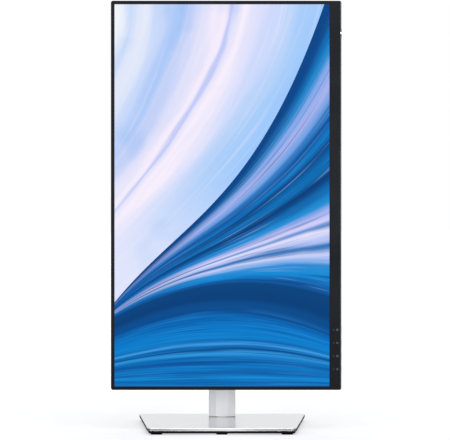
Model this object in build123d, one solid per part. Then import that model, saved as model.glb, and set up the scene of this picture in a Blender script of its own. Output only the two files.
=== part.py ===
from build123d import *
import os

# A desktop computer monitor on a stand that swivels, lifts, tilts and pivots.
# It stands with the screen turned to portrait, so the deep lower border is on the right.
# Millimetres, +Z up, +X right, +Y away from the viewer.
# The origin is on the desk, on the swivel axis of the stand.

os.makedirs("parts", exist_ok=True)

# ---- Driving dimensions: screen, in landscape terms ----
ACTIVE_W = 527.04        # picture width of a 23.8 inch 16:9 panel
ACTIVE_H = 296.46        # picture height
SIDE_BORDER = 4.95
TOP_BORDER = 5.0
CHIN = 16.64             # the deep border under the picture
LIP = 1.3                # silver edge of the rear cover, below the chin
CORNER_R = 3.0
HEAD_DEPTH = 50.0        # front to the back of the bulge
THIN_DEPTH = 13.0        # front to back beside the bulge
RIM_DEPTH = 9.0          # depth of the black side walls
COVER_WALL = 1.8

# ---- Driving dimensions: stand ----
FEET_H = 1.9
TRAY_TOP = 5.3
PLATE_TOP = 9.3
BASE_FRONT_Y = -157.0
BASE_DEPTH = 180.0
BASE_FRONT_W = 201.0
BASE_REAR_W = 240.0
COLUMN_HALF = 19.0       # half the width and half the depth of the column
COLUMN_BOTTOM = 9.9
COLUMN_TOP = 364.0
CAP_H = 3.0
WALL = 2.0

# ---- Driving dimensions: where the moving parts meet ----
PIVOT_Z = 324.0          # height of the pivot axis and of the tilt axis at rest
HEAD_FRONT_Y = -102.0    # front plane of the screen
TILT_Y = -37.0           # tilt axis, in front of the column
SWIVEL_R = 12.0          # stub of the column in the base plate
SWIVEL_LIMIT = 45.0      # degrees each way
RUNNING_GAP = 0.05       # radial clearance of a shaft that turns

# ---- Worked out from those ----
BASE_REAR_Y = BASE_FRONT_Y + BASE_DEPTH
HALF_W = ACTIVE_W / 2 + SIDE_BORDER
HEAD_TOP = ACTIVE_H / 2 + TOP_BORDER
HEAD_BOTTOM = -ACTIVE_H / 2 - CHIN
CHIN_TOP = -ACTIVE_H / 2 - 0.67
CHIN_BOTTOM = HEAD_BOTTOM + LIP


# ---- Shape helpers ----
def block(x0, x1, y0, y1, z0, z1):
    """A box between two opposite corners."""
    centre = Pos((x0 + x1) / 2, (y0 + y1) / 2, (z0 + z1) / 2)
    return centre * Box(x1 - x0, y1 - y0, z1 - z0)


def rod_x(radius, x0, x1, y, z):
    return Pos((x0 + x1) / 2, y, z) * Rot(0, 90, 0) * Cylinder(radius, x1 - x0)


def rod_y(radius, y0, y1, x, z):
    return Pos(x, (y0 + y1) / 2, z) * Rot(90, 0, 0) * Cylinder(radius, y1 - y0)


def rod_z(radius, z0, z1, x, y):
    return Pos(x, y, (z0 + z1) / 2) * Cylinder(radius, z1 - z0)


def rounded_face(x0, x1, z0, z1, y, radius):
    """A rounded rectangle facing the viewer, at depth y."""
    outline = RectangleRounded(x1 - x0, z1 - z0, radius)
    return Pos((x0 + x1) / 2, y, (z0 + z1) / 2) * Rot(90, 0, 0) * outline


def panel(x0, x1, y0, y1, z0, z1, radius):
    """A flat sheet with rounded corners, from depth y0 back to y1."""
    return extrude(rounded_face(x0, x1, z0, z1, y1, radius), amount=y1 - y0)


def hex_nut(width, bore, y0, y1, x, z):
    """A nut whose axis runs front to back."""
    outline = RegularPolygon(width / 2, 6, major_radius=False) - Circle(bore)
    return Pos(x, y1, z) * Rot(90, 0, 0) * extrude(outline, amount=y1 - y0)


def group(pieces):
    """Separate solids that share one node."""
    return Part() + list(pieces)


def driver_cross(x, y, z):
    """The cross recess of a screw head that faces up or down, centred on its face."""
    return Pos(x, y, z) * (Box(3.4, 0.8, 1.2) + Box(0.8, 3.4, 1.2))


def driver_cross_y(x, y, z):
    """The same in a head that faces the front or the back."""
    return Pos(x, y, z) * Rot(90, 0, 0) * driver_cross(0, 0, 0)


def eased_front(solid, radius):
    """A solid with the outer edge of its front face rounded."""
    return fillet(solid.faces().sort_by(Axis.Y)[0].outer_wire().edges(), radius)


def eased_underside(solid, radius):
    """A solid with the outer edge of its underside rounded."""
    return fillet(solid.faces().sort_by(Axis.Z)[0].outer_wire().edges(), radius)


# ---- Base ----
def base_outline(inset):
    """The base from above: narrow at the front, wide at the back, with rounded corners."""
    front, rear = BASE_FRONT_W / 2, BASE_REAR_W / 2
    corners = Polyline(
        (-front, BASE_FRONT_Y), (front, BASE_FRONT_Y),
        (rear, BASE_REAR_Y), (-rear, BASE_REAR_Y), close=True,
    )
    plan = fillet(make_face(corners).vertices(), 4.0)
    return offset(plan, -inset) if inset else plan


STOP_R = 15.5            # radius of the swivel stop pin from the swivel axis
STOP_PIN_R = 1.5
STOP_SLOT_START = -90 - SWIVEL_LIMIT
TRAY_INSET = 2.0
TRAY_FLOOR = 2.9
SCREW_PLACES = [(-80, -140), (80, -140), (-97, 0), (97, 0), (-45, -60), (45, -60)]
BOSS_R = 4.5


def base_plate():
    plate = Pos(0, 0, TRAY_TOP) * extrude(base_outline(0), amount=PLATE_TOP - TRAY_TOP)
    rim = plate.faces().sort_by(Axis.Z)[-1].outer_wire().edges()
    plate = fillet(rim, 0.6)
    plate -= rod_z(SWIVEL_R + RUNNING_GAP, 0, 20, 0, 0)
    arc = CenterArc((0, 0), STOP_R, STOP_SLOT_START, 2 * SWIVEL_LIMIT)
    slot = extrude(SlotArc(arc, 2 * STOP_PIN_R + 0.3), amount=20)
    holes = [rod_z(1.5, TRAY_TOP - 1, 8.2, x, y) for x, y in SCREW_PLACES]
    return plate - slot - holes


def base_tray():
    tray = Pos(0, 0, FEET_H) * extrude(base_outline(TRAY_INSET), amount=TRAY_TOP - FEET_H)
    tray = eased_underside(tray, 0.8)
    inside = extrude(base_outline(TRAY_INSET + 1.5), amount=TRAY_TOP)
    tray -= Pos(0, 0, TRAY_FLOOR) * inside
    tray += rod_z(19.4, FEET_H, TRAY_TOP, 0, 0)
    tray += [rod_z(BOSS_R, FEET_H, TRAY_TOP, x, y) for x, y in SCREW_PLACES]
    tray -= rod_z(18.0, 0, 20, 0, 0)
    tray -= [rod_z(1.6, 0, 20, x, y) for x, y in SCREW_PLACES]
    return tray - [rod_z(3.2, 0, 3.0, x, y) for x, y in SCREW_PLACES]


def base_weight():
    """The steel plate that keeps the stand from tipping."""
    weight = Pos(0, 0, 3.0) * extrude(base_outline(TRAY_INSET + 2.5), amount=2.2)
    weight -= rod_z(19.8, 0, 20, 0, 0)
    return weight - [rod_z(BOSS_R + 0.5, 0, 20, x, y) for x, y in SCREW_PLACES]


def rubber_feet():
    pad = eased_underside(extrude(RectangleRounded(15.5, 12, 4), amount=FEET_H), 0.4)
    places = [(-88.6, -147), (88.6, -147), (0, -147), (-103, 10), (103, 10)]
    ring = rod_z(20.8, 0, FEET_H, 0, 0) - rod_z(18.3, -1, 5, 0, 0)
    return group([Pos(x, y, 0) * pad for x, y in places] + [ring])


def tray_screws():
    return group(
        rod_z(3.0, 2.0, 2.95, x, y) + rod_z(1.5, 2.5, 8.0, x, y) - driver_cross(x, y, 2.0)
        for x, y in SCREW_PLACES
    )


# ---- Column ----
CROWN_HALF = 8.3         # half width of the flat band down the column's front
FLANK_DROP = 1.4         # how far the front falls away beside that band
CHANNEL_X = 15.0
CHANNEL_FRONT = -10.0
CHANNEL_REAR = 13.0
CHANNEL_T = 1.5
CHANNEL_BOTTOM = 15.9
CHANNEL_TOP = 360.0
COVER_SEAM_Y = 4.0
CABLE_Z = 82.0
RETAINER_SCREWS = [(0, 8), (-7, -4), (7, -4)]


def column_profile(inset):
    """The column from above: a crowned front and softly rounded back corners."""
    half = COLUMN_HALF - inset
    face = make_face(Polyline(
        (-half, half), (-half, FLANK_DROP - half), (-CROWN_HALF, -half),
        (CROWN_HALF, -half), (half, FLANK_DROP - half), (half, half), close=True,
    ))
    crown = face.vertices().sort_by(Axis.Y)[:2]
    face = fillet(crown, 6.0)
    corners = [v for v in face.vertices() if abs(v.X) > half - 0.01]
    return fillet(corners, 2.5)


def cable_hole(width, height):
    """An upright slot right through the column."""
    outline = SlotOverall(height, width)
    return Pos(0, 30, CABLE_Z) * Rot(90, 0, 0) * Rot(0, 0, 90) * extrude(outline, amount=60)


def column_shell():
    outer = extrude(column_profile(0), amount=COLUMN_TOP - CAP_H - COLUMN_BOTTOM)
    inner = extrude(column_profile(WALL), amount=COLUMN_TOP)
    shell = Pos(0, 0, COLUMN_BOTTOM) * (outer - inner)
    return shell - cable_hole(24.4, 40.4)


def riser_front_cover():
    seam = block(-40, 40, COVER_SEAM_Y, 40, 0, 400)
    arm_slot = block(-10, 10, -30, 0, 165, 400)
    return column_shell() - seam - arm_slot


def riser_rear_cover():
    return column_shell() - block(-40, 40, -40, COVER_SEAM_Y + 0.3, 0, 400)


def riser_top_cap():
    cap = Pos(0, 0, COLUMN_TOP - CAP_H) * extrude(column_profile(0), amount=CAP_H)
    cap = fillet(cap.faces().sort_by(Axis.Z)[-1].outer_wire().edges(), 1.0)
    skirt = extrude(column_profile(WALL + 0.2), amount=5)
    skirt -= block(-15.4, 15.4, -15.4, 15.4, -1, 9)
    return cap + Pos(0, 0, COLUMN_TOP - CAP_H - 5) * skirt


def cable_ring():
    ring = cable_hole(24, 40) - cable_hole(20, 36)
    ring = ring & block(-40, 40, -19.4, 19.4, 0, 200)
    return ring


def riser_foot():
    """The casting that carries the column and turns in the base plate."""
    flange = extrude(column_profile(WALL + 0.5), amount=CHANNEL_BOTTOM - COLUMN_BOTTOM)
    foot = Pos(0, 0, COLUMN_BOTTOM) * flange
    foot += block(-13.4, 13.4, -8.4, 11.4, CHANNEL_BOTTOM, 40)
    foot += rod_z(SWIVEL_R, 5.0, COLUMN_BOTTOM, 0, 0)
    foot -= rod_z(STOP_PIN_R, 5, 14, 0, -STOP_R)
    foot -= [rod_z(1.5, 4, 9, x, y) for x, y in RETAINER_SCREWS]
    return foot - [rod_y(1.6, 4, 12, x, z) for x, z in column_screw_places()]


def column_screw_places():
    return [(x, z) for x in (-8, 8) for z in (24, 34)]


def swivel_bearing():
    ring = rod_z(18.0, PLATE_TOP, COLUMN_BOTTOM, 0, 0)
    ring -= rod_z(SWIVEL_R + 0.3, 0, 20, 0, 0)
    return ring - rod_z(STOP_PIN_R + 0.1, 0, 20, 0, -STOP_R)


def swivel_stop_pin():
    return rod_z(STOP_PIN_R, 5.6, 13.9, 0, -STOP_R)


def swivel_retainer():
    disc = rod_z(17.0, 3.6, 5.0, 0, 0)
    return disc - [rod_z(1.6, 0, 20, x, y) for x, y in RETAINER_SCREWS]


def riser_screws():
    under = [
        rod_z(2.8, 2.4, 3.6, x, y) + rod_z(1.5, 3.5, 8.8, x, y) - driver_cross(x, y, 2.4)
        for x, y in RETAINER_SCREWS
    ]
    behind = [
        rod_y(3.2, CHANNEL_REAR, 14.6, x, z) + rod_y(1.6, 4.2, 14, x, z)
        - driver_cross_y(x, 14.6, z)
        for x, z in column_screw_places()
    ]
    return group(under + behind)


def column_channel():
    """The steel rail in the column, open at the front, with a tab that holds the spring."""
    rail = block(-CHANNEL_X, CHANNEL_X, CHANNEL_FRONT, CHANNEL_REAR, CHANNEL_BOTTOM, CHANNEL_TOP)
    inner_x = CHANNEL_X - CHANNEL_T
    rail -= block(
        -inner_x, inner_x, CHANNEL_FRONT + CHANNEL_T, CHANNEL_REAR - CHANNEL_T, 0, 400
    )
    rail -= block(-10.5, 10.5, -30, 0, 0, 400)
    rail -= [rod_y(1.7, 5, 20, x, z) for x, z in column_screw_places()]
    rail -= cable_hole(24.4, 40.4)
    return rail + block(-7, 7, STRIP_Y + 0.3, CHANNEL_REAR - 1, 347, 358)


# ---- Lift: carriage, counterbalance spring and arm ----
DRUM_Z = PIVOT_Z - 33.0
DRUM_Y = 1.0
COIL_R = 7.9             # outer radius of the wound spring strip
STRIP_Y = DRUM_Y + COIL_R + 0.05
BARREL_R = 6.5
TILT_SHAFT_R = 4.0
NECK_HALF = 8.0


def carriage():
    body = block(-12, 12, -7, 8.6, PIVOT_Z - 47, PIVOT_Z + 12)
    body -= block(-8, 8, -20, 20, DRUM_Z - 10, DRUM_Z + 9.5)
    body -= rod_x(2.0, -20, 20, DRUM_Y, DRUM_Z)
    return body - [rod_y(1.6, -10, 2, x, PIVOT_Z - 17) for x in (-5, 5)]


def carriage_glides():
    """Four plastic pads that run in the corners of the rail."""
    pads = []
    for z in (PIVOT_Z - 40, PIVOT_Z + 5):
        pads.append(block(12, 13.4, -8.4, 11.4, z - 6, z + 6))
        pads.append(block(-13.4, -12, -8.4, 11.4, z - 6, z + 6))
    return group(pads)


def drum_axle():
    return rod_x(2.0, -12, 12, DRUM_Y, DRUM_Z)


def spring_drum():
    drum = rod_x(4.5, -7.6, 7.6, DRUM_Y, DRUM_Z)
    drum += [rod_x(7.5, x - 0.5, x + 0.5, DRUM_Y, DRUM_Z) for x in (-7.1, 7.1)]
    return drum - rod_x(2.0 + RUNNING_GAP, -20, 20, DRUM_Y, DRUM_Z)


def spring_coil():
    return rod_x(COIL_R, -6.5, 6.5, DRUM_Y, DRUM_Z) - rod_x(4.5, -20, 20, DRUM_Y, DRUM_Z)


def spring_strip():
    """The straight run of the spring, from the drum up to its tab on the rail."""
    return block(-6.5, 6.5, STRIP_Y, STRIP_Y + 0.3, DRUM_Z, 358)


def lift_arm():
    arm = rod_x(BARREL_R, -14.5, 14.5, TILT_Y, PIVOT_Z)
    arm += block(-NECK_HALF, NECK_HALF, TILT_Y, -7, PIVOT_Z - 6, PIVOT_Z + 6)
    arm += block(-NECK_HALF, NECK_HALF, -28, -7, PIVOT_Z - 12, PIVOT_Z + 12)
    arm += block(-9.5, 9.5, -10.5, -7, PIVOT_Z - 22, PIVOT_Z + 12)
    arm -= rod_x(TILT_SHAFT_R, -20, 20, TILT_Y, PIVOT_Z)
    return arm - [rod_y(1.7, -20, 0, x, PIVOT_Z - 17) for x in (-5, 5)]


def arm_screws():
    return group(
        rod_y(3.0, -12.2, -10.5, x, PIVOT_Z - 17) + rod_y(1.6, -11, 1.6, x, PIVOT_Z - 17)
        - driver_cross_y(x, -12.2, PIVOT_Z - 17)
        for x in (-5, 5)
    )


def tilt_shaft():
    return rod_x(TILT_SHAFT_R, -23.6, 23.6, TILT_Y, PIVOT_Z)


def tilt_nuts():
    """A locking nut on each end of the tilt shaft."""
    nut = extrude(RegularPolygon(6.5, 6) - Circle(TILT_SHAFT_R), amount=3.8)
    return group(
        Pos(x, TILT_Y, PIVOT_Z) * Rot(0, 90, 0) * nut for x in (-22.9, 19.1)
    )


# ---- Tilting bracket ----
BRACKET_FRONT = -53.2
BRACKET_REAR = -49.7
PIVOT_SHAFT_R = 6.0


def tilt_bracket():
    plate = panel(-26, 26, BRACKET_FRONT, BRACKET_REAR, PIVOT_Z - 24, PIVOT_Z + 24, 6)
    plate -= rod_y(PIVOT_SHAFT_R + RUNNING_GAP, -60, -40, 0, PIVOT_Z)
    for side in (-1, 1):
        x0, x1 = sorted((side * 15.5, side * 18.5))
        plate += block(x0, x1, BRACKET_REAR, TILT_Y, PIVOT_Z - 8, PIVOT_Z + 8)
        plate += rod_x(8.0, x0, x1, TILT_Y, PIVOT_Z)
    return plate - rod_x(TILT_SHAFT_R + RUNNING_GAP, -30, 30, TILT_Y, PIVOT_Z)


def tilt_washers():
    """Friction washers each side of each ear."""
    washer = extrude(Circle(7.3) - Circle(TILT_SHAFT_R + 0.15), amount=0.7)
    return group(
        Pos(x, TILT_Y, PIVOT_Z) * Rot(0, 90, 0) * washer for x in (-15.4, 14.7)
    )


def hinge_cover():
    """The open sleeve that hides the tilt joint."""
    sleeve = panel(-26, 26, BRACKET_REAR, -34, PIVOT_Z - 24, PIVOT_Z + 24, 6)
    sleeve = fillet(sleeve.faces().sort_by(Axis.Y)[-1].outer_wire().edges(), 0.8)
    return sleeve - panel(-24.4, 24.4, -60, 0, PIVOT_Z - 22.4, PIVOT_Z + 22.4, 4.4)


# ---- Screen head: drawn in landscape about the pivot axis, front plane at y = 0 ----
# Depths from front to back, and the half sizes that the layers share.
FILM_FRONT = 0.7
CELL_FRONT = 0.9
CELL_BACK = 2.3
CHASSIS_FRONT = 2.5
GUIDE_FRONT = 3.1
GUIDE_BACK = 6.1
CHASSIS_BACK = 7.9
BOARD_FRONT = 14.0
BOARD_BACK = 15.6
SHEET_HALF_W = 260.7     # light guide and the sheets each side of it
SHEET_LOW = -150.4
SHEET_HIGH = 145.6
TRAY_HALF_W = 266.0      # inside of the steel tray behind the glass
TRAY_HIGH = 150.9
BEZEL_WALL = 1.2
BEZEL_FACE = 2.0         # width of the black rim seen from the front
CELL_HALF_W = HALF_W - BEZEL_FACE    # the glass fills the window in the rim
CELL_HIGH = HEAD_TOP - BEZEL_FACE
CELL_LOW = -155.5
LAMP_COUNT = 48
LAMP_PITCH = 10.8

BULGE_HALF_W = 172.0
BULGE_TOP = 98.0
BULGE_BOTTOM = -110.0
BULGE_SLOPE = 20.0       # how far its sides lean in from front to back
RECESS_HALF = 58.0
RECESS_FLOOR = 42.0
STAND_PLATE_T = 3.0
VESA_HALF = 50.0
VESA_HOLE_R = 2.0
FLANGE_SCREWS = [(-10, -10), (10, -10), (-10, 10), (10, 10)]
COVER_SCREWS = [(-228, 118), (228, 118), (-228, -140), (228, -140), (0, 122)]
KEY_X = [-239.7, -221.6, -203.5, -185.4]
POWER_KEY_X = 224.0
POWER_LED = (222.7, 225.3, 0.6, 2.4)
INLET_X = -112.0
DISPLAY_SOCKETS = [(-28, 15.2, 6.4), (6, 17.4, 7.2)]
VGA_X = 46.0
USB_UPLINK = (84, 12.6, 11.6)
USB_PAIRS = [(108, 14.6, 15.8), (131, 14.6, 15.8)]
SOCKET_Y = 24.0          # depth of the sockets' centres behind the front plane
SOCKET_FACE = -109.9     # the sockets' mouths, level with the wall around them
SOCKET_BACK = -98.0
VGA_FACE = -115.4        # the screwed connector stands out of the wall
LOCK_SLOT = (138, -88)
LABEL_RECESS = (72, 132, HEAD_DEPTH - 0.3, HEAD_DEPTH + 1, -70, -36)
BOARD_PEGS = [
    (-144, -100), (-73, -100), (-144, 52), (-73, 52),
    (-44, -100), (144, -100), (144, 34), (73, 34),
]


def to_stand(shape):
    """Turn a head piece to portrait and put it on the stand's pivot axis."""
    return Pos(0, HEAD_FRONT_Y, PIVOT_Z) * Rot(0, -90, 0) * shape


def outline_panel(y0, y1):
    return panel(-HALF_W, HALF_W, y0, y1, HEAD_BOTTOM, HEAD_TOP, CORNER_R)


def front_bezel():
    """The thin black frame on the left, top and right of the picture."""
    window_x = HALF_W - BEZEL_FACE
    inner_x = HALF_W - BEZEL_WALL
    frame = eased_front(outline_panel(0, RIM_DEPTH), 0.5)
    frame -= block(-window_x, window_x, -1, 20, -200, HEAD_TOP - BEZEL_FACE)
    frame -= block(-inner_x, inner_x, BEZEL_WALL, 20, -200, HEAD_TOP - BEZEL_WALL)
    return frame & block(-300, 300, -1, 20, CHIN_TOP, 200)


def chin_cover():
    """The deep black strip under the picture."""
    chin = eased_front(outline_panel(0, RIM_DEPTH), 0.5)
    chin = chin & block(-300, 300, -1, 20, CHIN_BOTTOM, CHIN_TOP)
    inner_x = HALF_W - BEZEL_WALL
    chin -= block(-inner_x, inner_x, 2.4, 20, -200, -100)
    return chin - block(-inner_x, inner_x, 0.8, 20, CELL_LOW - 0.5, -100)


def screen_film():
    half_w, half_h = ACTIVE_W / 2, ACTIVE_H / 2
    return block(-half_w, half_w, FILM_FRONT, CELL_FRONT, -half_h, half_h)


def lcd_cell():
    return block(-CELL_HALF_W, CELL_HALF_W, CELL_FRONT, CELL_BACK, CELL_LOW, CELL_HIGH)


def panel_frame():
    """The white frame that keeps the sheets in place."""
    outer_x = TRAY_HALF_W - 0.1
    inner_x = SHEET_HALF_W + 0.2
    ring = block(-outer_x, outer_x, CELL_BACK + 0.1, 7.0, -156.2, TRAY_HIGH - 0.1)
    return ring - block(-inner_x, inner_x, 0, 9, -153.0, SHEET_HIGH + 0.2)


def sheet(y0, y1):
    return block(-SHEET_HALF_W, SHEET_HALF_W, y0, y1, SHEET_LOW, SHEET_HIGH)


def diffuser_sheet():
    return sheet(CHASSIS_FRONT, GUIDE_FRONT - 0.1)


def light_guide():
    return sheet(GUIDE_FRONT, GUIDE_BACK)


def reflector_sheet():
    return sheet(GUIDE_BACK + 0.1, GUIDE_BACK + 0.4)


def led_strip():
    """A narrow board of lamps that shines up into the light guide."""
    strip = block(-258, 258, 3.0, 6.4, -152.9, -151.9)
    places = [LAMP_PITCH * (i - (LAMP_COUNT - 1) / 2) for i in range(LAMP_COUNT)]
    lamps = [block(x - 1.7, x + 1.7, 3.6, 5.6, -151.9, -150.6) for x in places]
    return strip + lamps


def panel_chassis():
    """The steel tray behind the picture, with the pegs that carry the boards."""
    tray = block(-266.8, 266.8, CHASSIS_FRONT, CHASSIS_BACK, -157.0, 151.6)
    tray -= block(-TRAY_HALF_W, TRAY_HALF_W, 0, CHASSIS_BACK - 0.8, -156.3, TRAY_HIGH)
    return tray + [rod_y(2.5, CHASSIS_BACK, BOARD_FRONT, x, z) for x, z in BOARD_PEGS]


def source_board():
    """The narrow board that drives the picture's columns."""
    board = block(-90, 90, CHASSIS_BACK + 0.1, 9.2, -154, -134)
    chips = [block(x - 8, x + 8, 9.2, 10.6, -148, -140) for x in (-60, -20, 20, 60)]
    return board + chips


def main_board():
    """The signal board: an L that carries the sockets along its lower edge."""
    board = block(-50, 150, BOARD_FRONT, BOARD_BACK, -107, -67)
    board += block(67, 150, BOARD_FRONT, BOARD_BACK, -67, 40)
    heat_sink = block(90, 125, BOARD_BACK, 18, -45, -10)
    heat_sink += [block(x, x + 1.2, 18, 27, -45, -10) for x in range(90, 125, 4)]
    chips = [block(x, x + 14, BOARD_BACK, 17.2, -82, -70) for x in (-40, -10, 20)]
    capacitors = [rod_y(4, BOARD_BACK, 28, x, 20) for x in (80, 92, 104)]
    return board + heat_sink + chips + capacitors


def power_board():
    """The mains board, notched under the inlet."""
    board = block(-150, -67, BOARD_FRONT, BOARD_BACK, -107, 60)
    board -= block(INLET_X - 14.5, INLET_X + 14.5, 10, 20, -120, -87.5)
    transformer = block(-128, -94, BOARD_BACK, 38, -30, 2)
    transformer += block(-124, -98, 20, 36, -36, 8)
    bulk = rod_x(9, -122, -86, 24.3, 36)
    coil = rod_y(9, BOARD_BACK, 30, -84, -58)
    small = [rod_y(4, BOARD_BACK, 30, x, 20) for x in (-82, -92)]
    return board + transformer + bulk + coil + small


def vesa_bracket():
    """The steel bridge behind the recess that carries the whole head."""
    bridge = block(-64, 64, 38.3, 39.8, -64, 64)
    bridge += [block(x, x + 1.5, 8.0, 38.3, -50, 50) for x in (-64, 62.5)]
    bridge += [block(x, x + 8, 8.0, 9.5, -50, 50) for x in (-62.5, 54.5)]
    return bridge - [rod_y(3.6, 30, 50, x, z) for x, z in vesa_places()]


def vesa_places():
    return [(x, z) for x in (-VESA_HALF, VESA_HALF) for z in (-VESA_HALF, VESA_HALF)]


def vesa_inserts():
    """Four threaded brass inserts, closed at the front."""
    inserts = []
    for x, z in vesa_places():
        bush = rod_y(3.5, 29, RECESS_FLOOR, x, z) + rod_y(5.5, 36.6, 38.2, x, z)
        inserts.append(bush - rod_y(VESA_HOLE_R, 31, 60, x, z))
    return group(inserts)


def cover_outer():
    """The outside of the rear cover: a thin edge and a bulge with sloping sides."""
    edge = loft([
        rounded_face(-HALF_W, HALF_W, HEAD_BOTTOM, HEAD_TOP, RIM_DEPTH, CORNER_R),
        rounded_face(-HALF_W + 25, HALF_W - 25, HEAD_BOTTOM, HEAD_TOP - 20, THIN_DEPTH, CORNER_R),
    ])
    back_half_w = BULGE_HALF_W - BULGE_SLOPE
    back_top = BULGE_TOP - BULGE_SLOPE + 2
    bulge = loft([
        rounded_face(-BULGE_HALF_W, BULGE_HALF_W, BULGE_BOTTOM, BULGE_TOP, THIN_DEPTH - 1, 16),
        rounded_face(-back_half_w, back_half_w, BULGE_BOTTOM, back_top, HEAD_DEPTH, 16),
    ])
    bulge = fillet(bulge.faces().sort_by(Axis.Y)[-1].outer_wire().edges(), 5.0)
    lip = eased_front(outline_panel(0.6, RIM_DEPTH), 0.4)
    lip = lip & block(-300, 300, 0, 20, -200, CHIN_BOTTOM)
    return edge + bulge + lip


def cover_inner():
    """The hollow inside the rear cover."""
    edge = loft([
        rounded_face(-HALF_W + 1.8, HALF_W - 1.8, CHIN_BOTTOM, HEAD_TOP - 1.8, RIM_DEPTH, 1.5),
        rounded_face(-HALF_W + 26, HALF_W - 26, CHIN_BOTTOM, HEAD_TOP - 21, 11.2, 1.5),
    ])
    front_half_w = BULGE_HALF_W - COVER_WALL
    back_half_w = front_half_w - BULGE_SLOPE
    low, high = BULGE_BOTTOM + 2, BULGE_TOP - COVER_WALL
    back_high = high - BULGE_SLOPE + 2
    bulge = loft([
        rounded_face(-front_half_w, front_half_w, low, high, 11, 14),
        rounded_face(-back_half_w, back_half_w, low, back_high, HEAD_DEPTH - 2, 14),
    ])
    return edge + bulge


def vent_slots():
    """Rows of upright slots along the top and the lower left of the bulge."""
    top = [
        block(x - 1.3, x + 1.3, 45, 60, 64.5, 74) for x in range(-128, 129, 8)
    ]
    low = [
        block(x - 1.3, x + 1.3, 45, 60, -100, -88) for x in range(-138, -65, 8)
    ]
    return top + low


def port_openings():
    """Cut-outs in the wall that faces down, one for each socket."""
    cuts = [block(INLET_X - 14.2, INLET_X + 14.2, 12.8, 35.2, -112, -106)]
    for x, width, height in DISPLAY_SOCKETS + [USB_UPLINK] + USB_PAIRS:
        cuts.append(socket_block(x, width + 0.4, height + 0.4, -112, -106))
    cuts.append(socket_block(VGA_X, 31.4, 12.8, -112, -106))
    return cuts


def socket_block(x, width, height, z0, z1):
    return block(
        x - width / 2, x + width / 2, SOCKET_Y - height / 2, SOCKET_Y + height / 2, z0, z1
    )


def rear_cover():
    cover = cover_outer() - cover_inner()
    recess_out = RECESS_HALF + COVER_WALL
    cover += panel(
        -recess_out, recess_out, RECESS_FLOOR - 2, HEAD_DEPTH - 1, -recess_out, recess_out, 10
    )
    cover -= panel(
        -RECESS_HALF, RECESS_HALF, RECESS_FLOOR, 60, -RECESS_HALF, RECESS_HALF, 8
    )
    cover -= [rod_y(3.6, 30, 50, x, z) for x, z in vesa_places()]
    cover -= [block(x - 5.5, x + 5.5, 41.9, 45.2, 57, 63) for x in (-25, 25)]
    cover -= block(-12.8, 12.8, 44.9, 46.9, -63, -57)
    cover -= block(-10.4, 10.4, 46, 60, -80.2, -65.6)
    cover -= vent_slots()
    cover -= port_openings()
    cover -= [block(x - 5.2, x + 5.2, 2.8, 7.8, -170, -160) for x in KEY_X]
    cover -= block(POWER_KEY_X - 6.2, POWER_KEY_X + 6.2, 2.8, 7.8, -170, -160)
    cover -= block(*POWER_LED, -170, -160)
    cover -= [
        rod_y(1.7, 0, 20, x, z) + rod_y(3.6, 11.7, 20, x, z) for x, z in COVER_SCREWS
    ]
    cover -= panel(*LABEL_RECESS, 2)
    lock_x, lock_z = LOCK_SLOT
    return cover - block(lock_x - 3.5, lock_x + 3.5, 45, 60, lock_z - 1.6, lock_z + 1.6)


def head_screws():
    cover = [
        rod_y(3.4, 11.8, 12.9, x, z) + rod_y(1.5, 8.0, 12.5, x, z) - driver_cross_y(x, 12.9, z)
        for x, z in COVER_SCREWS
    ]
    flange = [
        rod_y(3.0, 46.4, 47.9, x, z) + rod_y(1.6, 42.2, 47, x, z) - driver_cross_y(x, 47.9, z)
        for x, z in FLANGE_SCREWS
    ]
    return group(cover + flange)


def power_inlet():
    """A three-pin inlet whose mouth faces down."""
    body = block(INLET_X - 14, INLET_X + 14, 13, 35, SOCKET_FACE, -88)
    body -= block(INLET_X - 12, INLET_X + 12, 16, 32, -120, -93)
    pins = [(-7, 22), (7, 22), (0, 27)]
    return body + [
        block(INLET_X + x - 1, INLET_X + x + 1, y - 2, y + 2, -104, -92) for x, y in pins
    ]


def socket(x, width, height, tongue_h):
    """A rectangular metal socket with a tongue inside, on a stem down to the board."""
    bore = socket_block(x, width - 1.4, height - 1.4, -120, SOCKET_BACK - 1)
    shell = socket_block(x, width, height, SOCKET_FACE, SOCKET_BACK)
    stem = block(x - width / 2, x + width / 2, BOARD_BACK, SOCKET_Y, -106, SOCKET_BACK)
    tongue = socket_block(x, width - 5, tongue_h, -108, SOCKET_BACK - 0.5)
    return shell + stem - bore + tongue


def socket_pair(x, width, height):
    """Two sockets, one above the other, in one shell."""
    shell = socket_block(x, width, height, SOCKET_FACE, SOCKET_BACK)
    stem = block(x - width / 2, x + width / 2, BOARD_BACK, SOCKET_Y, -106, SOCKET_BACK)
    pair = shell + stem
    for side in (-1, 1):
        level = Pos(0, side * height / 4, 0)
        pair -= level * socket_block(x, width - 1.4, height / 2 - 1.6, -120, SOCKET_BACK - 1)
        pair += level * socket_block(x, width - 3, 1.9, -108.5, SOCKET_BACK - 0.5)
    return pair


def vga_socket():
    """A wide connector with three rows of five pin holes and a screw post at each end."""
    flange = block(VGA_X - 15.5, VGA_X + 15.5, 17.8, 30.2, SOCKET_FACE, -107.5)
    shell = panel_down(VGA_X, 16.9, 8.3, VGA_FACE, -107.5)
    shell -= panel_down(VGA_X, 15.7, 7.1, -120, VGA_FACE + 0.5)
    stem = block(VGA_X - 12, VGA_X + 12, BOARD_BACK, 29, -107.5, SOCKET_BACK)
    posts = [rod_z(2.4, -113.5, -107.5, VGA_X + x, SOCKET_Y) for x in (-12.4, 12.4)]
    pin_holes = [
        rod_z(0.5, -120, -111, VGA_X + 2.3 * column + 0.6 * row, SOCKET_Y + 2.0 * row)
        for row in (-1, 0, 1) for column in (-2, -1, 0, 1, 2)
    ]
    return flange + shell + stem + posts - pin_holes


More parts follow.
